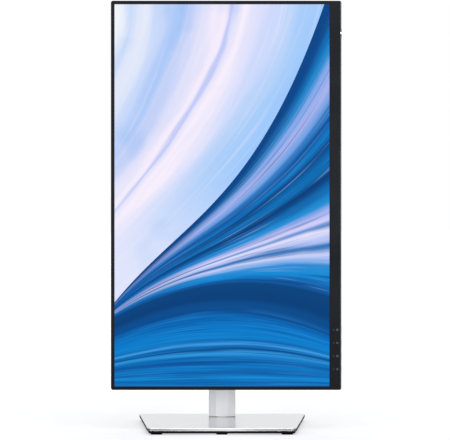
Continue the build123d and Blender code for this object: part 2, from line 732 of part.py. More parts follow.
def display_sockets():
    return group([socket(*place, tongue_h=1.6) for place in DISPLAY_SOCKETS] + [vga_socket()])


def panel_down(x, width, height, z0, z1):
    """A rounded block that points down out of the socket wall."""
    outline = RectangleRounded(width, height, 2.5)
    return Pos(x, SOCKET_Y, z0) * extrude(outline, amount=z1 - z0)


def usb_sockets():
    return group([socket(*USB_UPLINK, tongue_h=3.4)] + [socket_pair(*place) for place in USB_PAIRS])


def key_boards():
    """Two small boards with a switch above each key."""
    boards = []
    for places, x0, x1 in ((KEY_X, -250, -175), ([POWER_KEY_X], 214, 240)):
        board = block(x0, x1, 3.2, 8.2, -159.4, -158.4)
        board += [block(x - 2.2, x + 2.2, 3.6, 7.0, -161.0, -159.4) for x in places]
        board += [rod_z(1.0, -161.3, -161.0, x, 5.3) for x in places]
        boards.append(board)
    return group(boards)


def key_cap(x, half_width, proud):
    """A push key in the lower edge, with a flange that keeps it in."""
    cap = block(x - half_width, x + half_width, 3.0, 7.6, HEAD_BOTTOM - proud, -163.0)
    return cap + block(x - half_width - 1, x + half_width + 1, 2.6, 8.0, -163.45, -162.35)


def power_led():
    """A small clear lens in the silver lip, in front of the power key."""
    return block(*POWER_LED, HEAD_BOTTOM, CHIN_BOTTOM)


# ---- Pivot, stand plate and release latch: ride with the head ----
PLATE_BACK = RECESS_FLOOR + STAND_PLATE_T
LATCH_FRONT = PLATE_BACK + 0.1


def stand_plate():
    """The plate that hooks into the recess: two hooks at the top, a tongue at the bottom."""
    plate = panel(-42, 42, RECESS_FLOOR, PLATE_BACK, -42, 42, 6)
    plate += [block(x - 5, x + 5, RECESS_FLOOR, PLATE_BACK, 40, 61) for x in (-25, 25)]
    plate += block(-15, 15, RECESS_FLOOR, PLATE_BACK, -55, -40)
    return plate - [rod_y(1.7, 40, 50, x, z) for x, z in FLANGE_SCREWS]


def pivot_shaft():
    """The shaft that the head turns on, with its flange on the stand plate."""
    flange_back = PLATE_BACK + 3.0
    shaft = rod_y(20, PLATE_BACK, flange_back, 0, 0)
    shaft += rod_y(PIVOT_SHAFT_R, flange_back, 56.8, 0, 0)
    shaft -= [rod_y(1.7, 40, 50, x, z) for x, z in FLANGE_SCREWS]
    return shaft - [rod_y(3.1, 46.3, 50, x, z) for x, z in FLANGE_SCREWS]


def pivot_nut():
    """The two pivot washers and the nut that sets their friction."""
    rear = BRACKET_REAR - HEAD_FRONT_Y
    front_washer = rod_y(18, 48.1, 48.7, 0, 0) - rod_y(6.1, 0, 60, 0, 0)
    rear_washer = rod_y(11, rear + 0.1, rear + 0.7, 0, 0) - rod_y(6.1, 0, 60, 0, 0)
    return group([
        front_washer, rear_washer, hex_nut(18, PIVOT_SHAFT_R, rear + 0.8, rear + 4.4, 0, 0)
    ])


def latch_plate():
    """The sliding tooth that holds the stand plate's tongue."""
    return block(-12.3, 12.3, LATCH_FRONT, LATCH_FRONT + 1.5, -79, -52.5)


def release_button():
    """The thumb button on the back of the head that draws the tooth down."""
    button = block(-10, 10, LATCH_FRONT + 1.5, 51.2, -76.4, -66)
    ribs = [block(-8, 8, 50.7, 60, z - 0.5, z + 0.5) for z in (-74, -71.2, -68.4)]
    return button - ribs


STAND_NODES = {
    "base_plate": base_plate,
    "base_tray": base_tray,
    "base_weight": base_weight,
    "rubber_feet": rubber_feet,
    "tray_screws": tray_screws,
    "riser_foot": riser_foot,
    "swivel_bearing": swivel_bearing,
    "swivel_stop_pin": swivel_stop_pin,
    "swivel_retainer": swivel_retainer,
    "riser_screws": riser_screws,
    "column_channel": column_channel,
    "riser_front_cover": riser_front_cover,
    "riser_rear_cover": riser_rear_cover,
    "riser_top_cap": riser_top_cap,
    "cable_ring": cable_ring,
    "spring_strip": spring_strip,
    "carriage": carriage,
    "carriage_glides": carriage_glides,
    "drum_axle": drum_axle,
    "lift_arm": lift_arm,
    "arm_screws": arm_screws,
    "tilt_shaft": tilt_shaft,
    "tilt_nuts": tilt_nuts,
    "spring_drum": spring_drum,
    "spring_coil": spring_coil,
    "tilt_bracket": tilt_bracket,
    "tilt_washers": tilt_washers,
    "hinge_cover": hinge_cover,
}

HEAD_NODES = {
    "front_bezel": front_bezel,
    "chin_cover": chin_cover,
    "screen_film": screen_film,
    "lcd_cell": lcd_cell,
    "panel_frame": panel_frame,
    "diffuser_sheet": diffuser_sheet,
    "light_guide": light_guide,
    "reflector_sheet": reflector_sheet,
    "led_strip": led_strip,
    "panel_chassis": panel_chassis,
    "source_board": source_board,
    "main_board": main_board,
    "power_board": power_board,
    "vesa_bracket": vesa_bracket,
    "vesa_inserts": vesa_inserts,
    "rear_cover": rear_cover,
    "head_screws": head_screws,
    "power_inlet": power_inlet,
    "display_sockets": display_sockets,
    "usb_sockets": usb_sockets,
    "key_boards": key_boards,
    "power_led": power_led,
    "stand_plate": stand_plate,
    "pivot_shaft": pivot_shaft,
    "pivot_nut": pivot_nut,
    "latch_plate": latch_plate,
    "release_button": release_button,
}

for name, make in STAND_NODES.items():
    export_step(make(), f"parts/{name}.step")

for name, make in HEAD_NODES.items():
    export_step(to_stand(make()), f"parts/{name}.step")

for number, key_x in enumerate(KEY_X, start=1):
    export_step(to_stand(key_cap(key_x, 5.0, 0.25)), f"parts/function_key_{number}.step")

export_step(to_stand(key_cap(POWER_KEY_X, 6.0, 0.45)), "parts/power_key.step")
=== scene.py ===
import math

import bmesh
import bpy
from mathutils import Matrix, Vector


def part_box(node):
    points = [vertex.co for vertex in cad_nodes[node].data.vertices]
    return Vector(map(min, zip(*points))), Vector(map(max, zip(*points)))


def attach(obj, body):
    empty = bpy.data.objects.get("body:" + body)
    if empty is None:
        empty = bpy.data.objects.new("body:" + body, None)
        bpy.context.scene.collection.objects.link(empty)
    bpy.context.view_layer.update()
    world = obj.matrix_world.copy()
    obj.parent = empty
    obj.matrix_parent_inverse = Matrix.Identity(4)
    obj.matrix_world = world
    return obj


# The looks of a computer monitor in portrait on its stand: the materials of its CAD nodes, a blank
# rating label, and the stage, lights and camera.
# Metres, +Z up, +X right, +Y away from the viewer, as in the CAD.

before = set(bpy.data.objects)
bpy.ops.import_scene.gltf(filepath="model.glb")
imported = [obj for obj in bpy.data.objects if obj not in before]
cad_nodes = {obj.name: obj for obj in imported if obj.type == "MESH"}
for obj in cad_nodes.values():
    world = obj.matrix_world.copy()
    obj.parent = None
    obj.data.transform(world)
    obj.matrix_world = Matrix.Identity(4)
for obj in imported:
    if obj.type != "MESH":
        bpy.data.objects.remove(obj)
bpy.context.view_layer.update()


# ---- Colours ----
def srgb(code):
    """A linear colour from a six-digit hex code."""
    parts = [int(code[i:i + 2], 16) / 255 for i in (0, 2, 4)]
    linear = [c / 12.92 if c <= 0.04045 else ((c + 0.055) / 1.055) ** 2.4 for c in parts]
    return (*linear, 1.0)


def grey(level):
    return (level, level, level, 1.0)


# ---- Node trees ----
class Nodes:
    """The node tree of a material or of the world, with short calls for the nodes used here."""

    def __init__(self, owner, shader="Principled BSDF", place="Object"):
        owner.use_nodes = True
        self.owner = owner
        self.tree = owner.node_tree
        self.shader = self.tree.nodes[shader]
        self.place = self.add("ShaderNodeTexCoord").outputs[place]

    def put(self, socket, value):
        """A value or another node's output into a socket."""
        if isinstance(value, bpy.types.NodeSocket):
            self.tree.links.new(value, socket)
        else:
            socket.default_value = value

    def add(self, kind, inputs=None, **settings):
        node = self.tree.nodes.new(kind)
        for name, value in settings.items():
            setattr(node, name, value)
        for name, value in (inputs or {}).items():
            self.put(node.inputs[name], value)
        return node

    def set(self, **sockets):
        """Sockets of the main shader, with an underscore for each space."""
        for name, value in sockets.items():
            self.put(self.shader.inputs[name.replace("_", " ")], value)

    def math(self, operation, *values, clamp=False):
        node = self.add("ShaderNodeMath", operation=operation, use_clamp=clamp)
        for socket, value in zip(node.inputs, values):
            self.put(socket, value)
        return node.outputs[0]

    def distance(self, a, b):
        """Length of the vector with these two sides."""
        squares = self.math("ADD", self.math("MULTIPLY", a, a), self.math("MULTIPLY", b, b))
        return self.math("SQRT", squares)

    def axes(self, vector=None):
        """The X, Y and Z of a vector, or of the place in metres."""
        return self.add("ShaderNodeSeparateXYZ", {"Vector": vector or self.place}).outputs

    def vector(self, x, y, z=0.0):
        return self.add("ShaderNodeCombineXYZ", {"X": x, "Y": y, "Z": z}).outputs[0]

    def stretched(self, scale):
        """The place in metres, with a scale of its own along each axis."""
        return self.add("ShaderNodeMapping", {"Vector": self.place, "Scale": scale}).outputs[0]

    def noise(self, vector, scale, detail=2.0):
        inputs = {"Vector": vector, "Scale": scale, "Detail": detail}
        return self.add("ShaderNodeTexNoise", inputs).outputs["Fac"]

    def cells(self, vector, scale):
        return self.add("ShaderNodeTexVoronoi", {"Vector": vector, "Scale": scale}).outputs

    def spread(self, value, low, high, to_low=0.0, to_high=1.0):
        """A value stretched from one range to another, and held inside it."""
        inputs = {"Value": value, "From Min": low, "From Max": high, "To Min": to_low, "To Max": to_high}
        return self.add("ShaderNodeMapRange", inputs).outputs[0]

    def step(self, value, start, end):
        """0 at start, 1 at end, smooth between, and held outside them."""
        inputs = {"Value": value, "From Min": start, "From Max": end}
        return self.add("ShaderNodeMapRange", inputs, interpolation_type="SMOOTHSTEP").outputs[0]

    def mix(self, factor, a, b):
        """Colour a where the factor is 0, and b where it is 1."""
        node = self.add("ShaderNodeMix", data_type="RGBA")
        for socket, value in ((0, factor), (6, a), (7, b)):
            self.put(node.inputs[socket], value)
        return node.outputs[2]

    def ramp(self, factor, stops):
        """Colours along a value, as (position, hex code) pairs."""
        node = self.add("ShaderNodeValToRGB", {"Fac": factor})
        node.color_ramp.interpolation = "EASE"
        points = node.color_ramp.elements
        while len(points) < len(stops):
            points.new(0.5)
        for point, (position, code) in zip(points, stops):
            point.position = position
            point.color = srgb(code)
        return node.outputs["Color"]

    def paint(self, mask, colour):
        """Another colour over the main one, where the mask is 1."""
        plain = self.shader.inputs["Base Color"].links[0].from_socket
        self.set(Base_Color=self.mix(mask, plain, colour))

    def bump(self, height, distance):
        self.set(Normal=self.add("ShaderNodeBump", {"Height": height, "Distance": distance}).outputs[0])


# Scales are in features per metre, and depths of a bump in metres.
GRAIN = 2600.0           # spark-eroded plastic grain
GRAIN_DEPTH = 0.00003
MOTTLE = 24.0            # broad, faint unevenness
NOISE_RANGE = (0.3, 0.7)          # where nearly all of a noise lies
TWO_NOISES_RANGE = (0.7, 1.3)     # and of the sum of two


# ---- Plastics and paints ----
def surface(name, light, dark, roughness, spread=0.06, grain=GRAIN, depth=GRAIN_DEPTH, **sockets):
    """A moulded or painted skin: two close colours, uneven gloss and a fine grain."""
    n = Nodes(bpy.data.materials.new(name))
    broad = n.noise(n.place, MOTTLE, 3.0)
    fine = n.noise(n.place, grain)
    shade = n.math("MULTIPLY", broad, n.spread(fine, *NOISE_RANGE))
    n.set(Base_Color=n.mix(shade, srgb(dark), srgb(light)))
    n.set(Roughness=n.spread(broad, *NOISE_RANGE, roughness - spread, roughness + spread))
    n.bump(fine, depth)
    n.set(**sockets)
    return n


def moulded(name, light, dark, roughness, **extra):
    """That skin as a finished material."""
    return surface(name, light, dark, roughness, **extra).owner


LIP_SHADE_DEPTH = 0.0004        # depth of the painted shade on the front edge of the cover's lip, beside the chin


def cover_with_painted_lip_shade(name, node):
    """Silver cover skin, with painted shade on the front edge where its lip shows beside the chin."""
    n = surface(name, "b4b6b9", "abadb1", 0.4, depth=0.00002, Metallic=0.25)
    # painted shade: faces at the lip's front edge get a darker grey, as if in shadow
    front = n.math("LESS_THAN", n.axes()["Y"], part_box(node)[0].y + LIP_SHADE_DEPTH)
    n.paint(front, srgb("62656a"))
    return n.owner


# ---- Metals ----
SHINIER = 0.06           # how far the gloss of a brushed metal wanders each way
DULLER = 0.08
FINE_LINES = 0.00001     # depth of brush lines and zinc crystals
CRYSTALS = 260.0
CRYSTAL_GRIT = 900.0
CRYSTAL_RANGE = (0.3, 1.3)
CAST_PITS = 1500.0
CAST_CLOUDS = 90.0
CAST_DEPTH = 0.00004
STRIP_T = 0.0003         # thickness of the spring strip
STRIP_DEPTH = 0.00003    # height of its edges in the wound coil


def brushed(name, light, dark, roughness, scale):
    """Metal with fine lines along the axis that has the small scale."""
    n = Nodes(bpy.data.materials.new(name))
    lines = n.noise(n.stretched(scale), 1.0, 3.0)
    both = n.math("ADD", lines, n.noise(n.place, MOTTLE))
    n.set(Base_Color=n.mix(lines, srgb(dark), srgb(light)), Metallic=1.0)
    n.set(Roughness=n.spread(both, *TWO_NOISES_RANGE, roughness - SHINIER, roughness + DULLER))
    n.bump(lines, FINE_LINES)
    return n.owner


def galvanised(name):
    """Zinc-plated sheet with its faint crystals."""
    n = Nodes(bpy.data.materials.new(name))
    shade = n.math("ADD", n.cells(n.place, CRYSTALS)["Distance"], n.noise(n.place, CRYSTAL_GRIT))
    n.set(Base_Color=n.mix(n.spread(shade, *CRYSTAL_RANGE), srgb("8d9298"), srgb("bfc4c9")), Metallic=1.0)
    n.set(Roughness=n.spread(shade, *CRYSTAL_RANGE, 0.28, 0.46))
    n.bump(shade, FINE_LINES)
    return n.owner


def cast(name):
    """Die-cast alloy: a dull, slightly pitted skin."""
    n = Nodes(bpy.data.materials.new(name))
    pits = n.noise(n.place, CAST_PITS, 4.0)
    clouds = n.noise(n.place, CAST_CLOUDS, 3.0)
    n.set(Base_Color=n.mix(clouds, srgb("85888c"), srgb("a9acb0")), Metallic=1.0)
    n.set(Roughness=n.spread(pits, *NOISE_RANGE, 0.38, 0.56))
    n.bump(pits, CAST_DEPTH)
    return n.owner


def wound_spring(name, node):
    """Blued spring strip, wound in rings about its own axis."""
    low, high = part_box(node)
    centre = (low + high) / 2
    n = Nodes(bpy.data.materials.new(name))
    place = n.axes()
    along = n.math("SUBTRACT", place["Y"], centre.y)
    up = n.math("SUBTRACT", place["Z"], centre.z)
    turns = n.math("SINE", n.math("MULTIPLY", n.distance(along, up), 2 * math.pi / STRIP_T))
    n.set(Base_Color=n.mix(n.spread(turns, -1, 1), srgb("3c4250"), srgb("808796")), Metallic=1.0)
    n.set(Roughness=n.spread(turns, -1, 1, 0.42, 0.26))
    n.bump(turns, STRIP_DEPTH)
    return n.owner


# ---- Circuit boards ----
BOARD_T = 0.0017         # thickness of a bare board
TRACKS = 160.0           # scales of copper tracks, solder pads and components
PADS = 420.0
PARTS = 60.0
PAD_DEPTH = 0.00003
PAD_EDGE = (0.16, 0.12)           # distance from its middle where a pad begins and is whole
METAL_PARTS = (0.62, 0.66)        # a part is dark below the first value, and bare metal above the second


def circuit(name, board_back):
    """Green board with copper tracks under its mask, and dark or metal parts standing behind it."""
    n = Nodes(bpy.data.materials.new(name))
    x, y, z = n.axes()
    flat = n.vector(x, z)
    tracks = n.add("ShaderNodeTexBrick", {
        "Vector": flat, "Scale": TRACKS, "Mortar Size": 0.04, "Mortar Smooth": 0.1,
        "Color1": srgb("0d5a30"), "Color2": srgb("0f6a39"), "Mortar": srgb("2f8f55"),
    }, offset=0.5, squash=0.6, squash_frequency=3).outputs["Color"]
    pads = n.cells(flat, PADS)["Distance"]
    green = n.mix(n.step(pads, *PAD_EDGE), tracks, srgb("b9bcb4"))
    kind = n.axes(n.cells(flat, PARTS)["Color"])["X"]
    part = n.mix(n.step(kind, *METAL_PARTS), srgb("2b2c2f"), srgb("8d9196"))
    standing = n.math("GREATER_THAN", y, board_back)
    n.set(Base_Color=n.mix(standing, green, part), Roughness=n.spread(pads, 0.0, 0.4, 0.28, 0.42))
    n.bump(pads, PAD_DEPTH)
    return n.owner


# ---- The picture on the screen: an abstract wave of this script's own design ----
# Colours across each region, as (position, hex code) pairs.
PALE = [
    (0.00, "9fcbff"), (0.08, "a9cffd"), (0.17, "bcd6fd"), (0.25, "cfdcff"), (0.33, "e6e6ff"),
    (0.38, "fbf1ff"), (0.42, "ece9ff"), (0.455, "c3cdfb"), (0.49, "f8efff"), (0.55, "e2e3fd"),
    (0.63, "c6d4fb"), (0.70, "aecbfb"), (0.78, "c9dafd"), (0.86, "e4ebfd"), (0.93, "cfdffc"),
    (1.00, "f6fafe"),
]
FAN = [
    (0.000, "0a3a70"), (0.040, "04407c"), (0.085, "0a5fa6"), (0.130, "0f7fc9"), (0.185, "2b8fd6"),
    (0.240, "86acee"), (0.300, "a9b6f2"), (0.345, "7ba6e8"), (0.385, "2f7cc6"), (0.425, "0a5aa6"),
    (0.465, "0d78c4"), (0.500, "03498c"), (0.560, "0470b8"), (0.600, "023f7c"), (0.650, "0a6ab2"),
    (0.690, "1e8fd8"), (0.720, "a9b8f4"), (0.745, "d5d3fc"), (0.765, "5f93d4"), (0.785, "e4e2ff"),
    (0.815, "b6c6f8"), (0.835, "2f78bf"), (0.860, "c9d3fb"), (0.890, "8db6f0"), (0.915, "2a8fd9"),
    (0.950, "128bd8"), (0.980, "0a6cb8"), (1.000, "044d93"),
]
DEEP = [(0.0, "0a5aa4"), (0.12, "03447f"), (0.55, "02407c"), (0.8, "044c8e"), (1.0, "035299")]
RINGS = [
    (0.00, "02498c"), (0.05, "0161ae"), (0.20, "0277c8"), (0.34, "0480d0"), (0.42, "0a72bf"),
    (0.46, "3a9de4"), (0.49, "0a6ab6"), (0.52, "03508f"), (0.56, "2f97e0"), (0.61, "0673be"),
    (0.68, "0558a4"), (0.76, "057ac8"), (0.82, "0a60ac"), (0.88, "0e8ad6"), (0.94, "0468b4"),
    (1.00, "0672c0"),
]

# Heights across the picture, as terms of a polynomial in u, from the lowest.
SWEEP_EDGE = (0.22, 0.69, -0.61, 0.74)
FAN_FLOOR = (0.185, 0.297, -0.238)
RINGS_TOP = (0.132, 0.266, -0.26)

# The curve that the sky's streaks follow, and how much narrower they are at the foot.
SKY_TOP = 1.04
SKY_BEND = 1.618
SKY_REACH = 1.5
SKY_FOOT = 0.7

FAN_CLOSING = 0.22       # how far the fan's upper bands close up at the left

# Streaks: their scale across a band, their scale along it, and a stretch of noise of their own.
SKY_SILK = (7.0, 2.6, 0.0)
SKY_THREADS = (34.0, 2.4, 0.0)
SKY_CLOUDS = (2.4, 5.0, 3.7)
FAN_SILK = (13.0, 1.7, 1.9)
FAN_THREADS = (70.0, 2.2, 0.0)
RING_SILK = (6.0, 1.4, 8.2)
RING_THREADS = (48.0, 1.8, 5.0)
SLOW_DRIFT = (1.5, 1.5, 4.0)

# How far each noise pushes the bands to and fro.
SKY_PUSH = 0.2
FAN_PUSH = 0.05
RING_PUSH = 0.12
DRIFT_PUSH = 0.05

# Tints: a colour, the most of it, and the two values between which it comes in.
SKY_HIGHLIGHTS = ("f9f5ff", 0.35, 0.52, 0.8)
SKY_HAZE = ("f3f0ff", 0.75, 0.62, 0.26)
SKY_PATCHES = ("8db9f4", 0.6, 0.56, 0.74)
FAN_HIGHLIGHTS = ("9fc0f6", 0.5, 0.58, 0.8)
FAN_SHADES = ("013a78", 0.7, 0.44, 0.26)
FAN_LEFT = ("0350a0", 0.5, 0.5, 0.0)
FAN_RIM = ("02468a", 1.0, 0.2, 0.04)
RING_HIGHLIGHTS = ("2f9be6", 0.5, 0.52, 0.78)
RING_SHADES = ("02498f", 0.6, 0.45, 0.28)

RINGS_BLUR = (0.004, 0.012)       # how far the rings' upper edge is blurred, down and up
PICTURE_GLOW = 0.97
FILM_SPARKLE = 5200.0
FILM_DEPTH = 0.000001


def curve(n, u, *terms):
    """A polynomial in u, its terms given from the lowest."""
    total = terms[-1]
    for term in reversed(terms[:-1]):
        total = n.math("MULTIPLY_ADD", total, u, term)
    return total


def share(n, part, whole):
    """A part as a share of the whole, held between 0 and 1."""
    return n.math("DIVIDE", part, whole, clamp=True)


def streaks(n, across, along, pattern, detail=2.0):
    """Noise drawn out along the bands of a region."""
    across_scale, along_scale, seed = pattern
    place = n.vector(n.math("MULTIPLY", across, across_scale), n.math("MULTIPLY", along, along_scale), seed)
    return n.noise(place, 1.0, detail)


def pushed(n, value, noise, amount):
    """A value pushed to and fro by a noise."""
    return n.math("MULTIPLY_ADD", n.math("SUBTRACT", noise, 0.5), amount, value)


def tinted(n, colour, value, code, most, start, end):
    """A colour with another mixed in: none of it where the value is start, and the most at end."""
    return n.mix(n.spread(value, start, end, 0.0, most), colour, srgb(code))


def veiled(n, colour, value, code, most, start, end):
    """The same, with a smooth start and end."""
    return n.mix(n.math("MULTIPLY", n.step(value, start, end), most), colour, srgb(code))


def pale_sky(n, u, v, drift):
    """Soft streaks above the sweep, bent as its edge is."""
    down = n.math("MAXIMUM", n.math("SUBTRACT", SKY_TOP, v), 0.0)
    edge = n.math("MULTIPLY_ADD", n.math("POWER", down, SKY_BEND), -SKY_REACH, 1.0)
    width = n.math("MULTIPLY_ADD", v, 1.0 - SKY_FOOT, SKY_FOOT)
    across = n.math("DIVIDE", n.math("SUBTRACT", edge, u), width)
    silk = streaks(n, across, v, SKY_SILK, detail=3.0)
    threads = streaks(n, across, v, SKY_THREADS)
    clouds = streaks(n, u, v, SKY_CLOUDS)
    colour = n.ramp(pushed(n, n.math("ADD", across, drift), silk, SKY_PUSH), PALE)
    colour = tinted(n, colour, threads, *SKY_HIGHLIGHTS)
    colour = veiled(n, colour, v, *SKY_HAZE)
    return tinted(n, colour, clouds, *SKY_PATCHES)


def blue_fan(n, u, v, edge, floor, drift):
    """Bands that start together on the left and open towards the right."""
    fall = share(n, n.math("SUBTRACT", edge, v), n.math("SUBTRACT", edge, floor))
    closing = n.math("MULTIPLY", n.math("SUBTRACT", 1.0, u), n.math("SUBTRACT", 1.0, fall))
    band = n.math("MULTIPLY_ADD", closing, FAN_CLOSING, fall)
    silk = streaks(n, band, u, FAN_SILK, detail=3.0)
    threads = streaks(n, band, u, FAN_THREADS)
    colour = n.ramp(pushed(n, n.math("ADD", band, drift), silk, FAN_PUSH), FAN)
    colour = tinted(n, colour, threads, *FAN_HIGHLIGHTS)
    colour = tinted(n, colour, threads, *FAN_SHADES)
    colour = veiled(n, colour, u, *FAN_LEFT)
    return veiled(n, colour, fall, *FAN_RIM)


def blue_rings(n, u, v, floor, drift):
    """Deep band under the fan, then brighter rings down to the lower edge."""
    top = curve(n, u, *RINGS_TOP)
    deep = n.ramp(share(n, n.math("SUBTRACT", floor, v), n.math("SUBTRACT", floor, top)), DEEP)
    ring = share(n, n.math("SUBTRACT", top, v), top)
    silk = streaks(n, ring, u, RING_SILK)
    threads = streaks(n, ring, u, RING_THREADS)
    rings = n.ramp(pushed(n, n.math("ADD", ring, drift), silk, RING_PUSH), RINGS)
    rings = tinted(n, rings, threads, *RING_HIGHLIGHTS)
    rings = tinted(n, rings, threads, *RING_SHADES)
    below, above = RINGS_BLUR
    outside = n.step(v, n.math("SUBTRACT", top, below), n.math("ADD", top, above))
    return n.mix(outside, rings, deep)


def lit_picture(name, node):
    """The lit screen, behind a matt anti-glare film."""
    low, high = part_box(node)
    n = Nodes(bpy.data.materials.new(name))
    place = n.axes()
    u = n.spread(place["X"], low.x, high.x)
    v = n.spread(place["Z"], low.z, high.z)
    drift = pushed(n, 0.0, streaks(n, u, v, SLOW_DRIFT, detail=1.0), DRIFT_PUSH)
    edge = curve(n, u, *SWEEP_EDGE)
    floor = curve(n, u, *FAN_FLOOR)
    sky = pale_sky(n, u, v, drift)
    fan = blue_fan(n, u, v, edge, floor, drift)
    rings = blue_rings(n, u, v, floor, drift)
    sea = n.mix(n.math("LESS_THAN", v, floor), fan, rings)
    picture = n.mix(n.math("LESS_THAN", v, edge), sky, sea)
    n.set(Base_Color=srgb("020203"), Emission_Color=picture, Emission_Strength=PICTURE_GLOW)
    sparkle = n.noise(n.place, FILM_SPARKLE, 1.0)
    n.set(Roughness=n.spread(sparkle, *NOISE_RANGE, 0.42, 0.56), Specular_IOR_Level=0.03)
    n.bump(sparkle, FILM_DEPTH)
    return n.owner


# ---- Printed signs beside the keys ----
KEYS = ("function_key_1", "function_key_2", "function_key_3", "function_key_4")
DOT_X = 0.1542           # across the chin: a dot over each key's switch, and its sign nearer the edge
SIGN_X = 0.1591
DOT_RADIUS = 0.00045
SIGN_RADIUS = 0.0009
SIGN_LINE = 0.00022      # half the width of a printed line
PRINT_DEPTH = 0.0003     # the print is only on faces this close to the chin's front


def sign_distance(n, across, up, square):
    """Distance from the middle of a sign: measured round for a ring, and square for a box."""
    if square:
        return n.math("MAXIMUM", n.math("ABSOLUTE", across), n.math("ABSOLUTE", up))
    return n.distance(across, up)


def key_signs(name, node):
    """Black chin with a plain dot and a ring or box printed in grey for each function key."""
    n = surface(name, "14151a", "101116", 0.5, depth=0.000001, Specular_IOR_Level=0.12)
    x, y, z = n.axes()
    printed = 0.0
    for index, key in enumerate(KEYS):
        low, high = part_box(key)
        up = n.math("SUBTRACT", z, (low.z + high.z) / 2)
        dot = n.distance(n.math("SUBTRACT", x, DOT_X), up)
        sign = sign_distance(n, n.math("SUBTRACT", x, SIGN_X), up, index % 2 == 1)
        line = n.math("ABSOLUTE", n.math("SUBTRACT", sign, SIGN_RADIUS))
        here = n.math("MAXIMUM", n.math("LESS_THAN", dot, DOT_RADIUS), n.math("LESS_THAN", line, SIGN_LINE))
        printed = n.math("MAXIMUM", printed, here)
    front = n.math("LESS_THAN", y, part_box(node)[0].y + PRINT_DEPTH)
    n.paint(n.math("MULTIPLY", printed, front), srgb("6c6f75"))
    return n.owner


# ---- Which material each piece has ----
def dress(material, *names):
    """Gives CAD nodes a material."""
    for name in names:
        mesh = cad_nodes[name].data
        mesh.materials.clear()
        mesh.materials.append(material)


# Painted and moulded skins: light and dark shade, roughness, and how deep the grain is.
dress(moulded("silver_plastic", "e4e5e7", "dedfe2", 0.34, depth=0.000004, Metallic=0.1),
      "riser_front_cover", "riser_rear_cover", "riser_top_cap")
dress(cover_with_painted_lip_shade("cover_silver", "rear_cover"), "rear_cover")
dress(moulded("silver_paint", "e2e3e4", "dadbdd", 0.22, spread=0.02, grain=5200.0, depth=0.0000015,
              Metallic=0.94), "base_plate")
dress(moulded("black_grain", "0c0c0e", "080809", 0.6, Specular_IOR_Level=0.1), "base_tray")
dress(moulded("black_bezel", "14171f", "101219", 0.5, depth=0.000001, Specular_IOR_Level=0.1), "front_bezel")
dress(moulded("panel_border", "11141f", "0d0f18", 0.4, depth=0.000001, Specular_IOR_Level=0.1), "lcd_cell")
dress(moulded("rubber", "0e0e0e", "090909", 0.82, depth=0.00006, Specular_IOR_Level=0.1), "rubber_feet")
dress(moulded("dark_plastic", "2a2b2e", "222326", 0.5),
      "hinge_cover", "cable_ring", "release_button", "power_key", *KEYS)
dress(moulded("white_plastic", "e4e3de", "d6d5cf", 0.44),
      "swivel_bearing", "carriage_glides", "spring_drum", "panel_frame", "reflector_sheet")
dress(moulded("clear_sheet", "eef1f4", "dfe4e9", 0.18, grain=1200.0), "light_guide", "diffuser_sheet")
dress(moulded("socket_black", "0d0d0e", "080809", 0.5), "power_inlet")
dress(moulded("led_lens", "f2f6ff", "e4ecff", 0.2, Emission_Color=srgb("eef3ff"), Emission_Strength=1.2),
      "power_led")
dress(key_signs("black_chin", "chin_cover"), "chin_cover")
dress(lit_picture("lit_picture", "screen_film"), "screen_film")

# Metals: light and dark shade, roughness, and the scale of their lines along each axis.
dress(galvanised("galvanised"),
      "base_weight", "column_channel", "vesa_bracket", "panel_chassis", "swivel_retainer")
dress(brushed("steel_plate", "b5b9bd", "8f9498", 0.34, (60.0, 900.0, 900.0)),
      "stand_plate", "tilt_bracket", "pivot_shaft", "latch_plate", "tilt_washers")
dress(brushed("bright_steel", "cdd0d3", "a5a9ad", 0.24, (1600.0, 1600.0, 400.0)),
      "tray_screws", "riser_screws", "arm_screws", "head_screws", "tilt_shaft", "tilt_nuts", "pivot_nut",
      "drum_axle", "swivel_stop_pin")
dress(brushed("tin_plate", "c9ccce", "a9acb0", 0.26, (900.0, 900.0, 60.0)), "display_sockets", "usb_sockets")
dress(brushed("brass", "c7a35a", "a27f3c", 0.28, (1600.0, 1600.0, 1600.0)), "vesa_inserts")
dress(brushed("spring_strip", "8a90a0", "5a6070", 0.3, (900.0, 900.0, 20.0)), "spring_strip")
dress(wound_spring("spring_coil", "spring_coil"), "spring_coil")
dress(cast("cast_alloy"), "riser_foot", "carriage", "lift_arm")

for board in ("source_board", "main_board", "power_board", "key_boards", "led_strip"):
    dress(circuit(board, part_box(board)[0].y + BOARD_T), board)


# ---- Blank rating label in the recess of the rear cover ----
LABEL_LOW = Vector((0.0372, 0.0, 0.3972))        # its lower and upper corners, in X and Z
LABEL_HIGH = Vector((0.0688, 0.0, 0.4548))
LABEL_BACK_Y = -0.05232
LABEL_FACE_Y = -0.05216
LABEL_TAPER = 0.996      # its face, as a share of its back
LABEL_CORNER = 0.0022
CORNER_STEPS = 8


def rounded_outline(low, high, radius):
    """Points round a rectangle with rounded corners, in X and Z."""
    points = []
    corners = ((high.x, high.z, 0), (low.x, high.z, 1), (low.x, low.z, 2), (high.x, low.z, 3))
    for x, z, quarter in corners:
        inner_x = x - math.copysign(radius, x - (low.x + high.x) / 2)
        inner_z = z - math.copysign(radius, z - (low.z + high.z) / 2)
        for step in range(CORNER_STEPS + 1):
            angle = (quarter + step / CORNER_STEPS) * math.pi / 2
            points.append((inner_x + radius * math.cos(angle), inner_z + radius * math.sin(angle)))
    return points


def new_object(name, net, material):
    """An object in the scene from an edited mesh, which is freed."""
    mesh = bpy.data.meshes.new(name)
    net.to_mesh(mesh)
    net.free()
    mesh.materials.append(material)
    made = bpy.data.objects.new(name, mesh)
    bpy.context.scene.collection.objects.link(made)
    return made


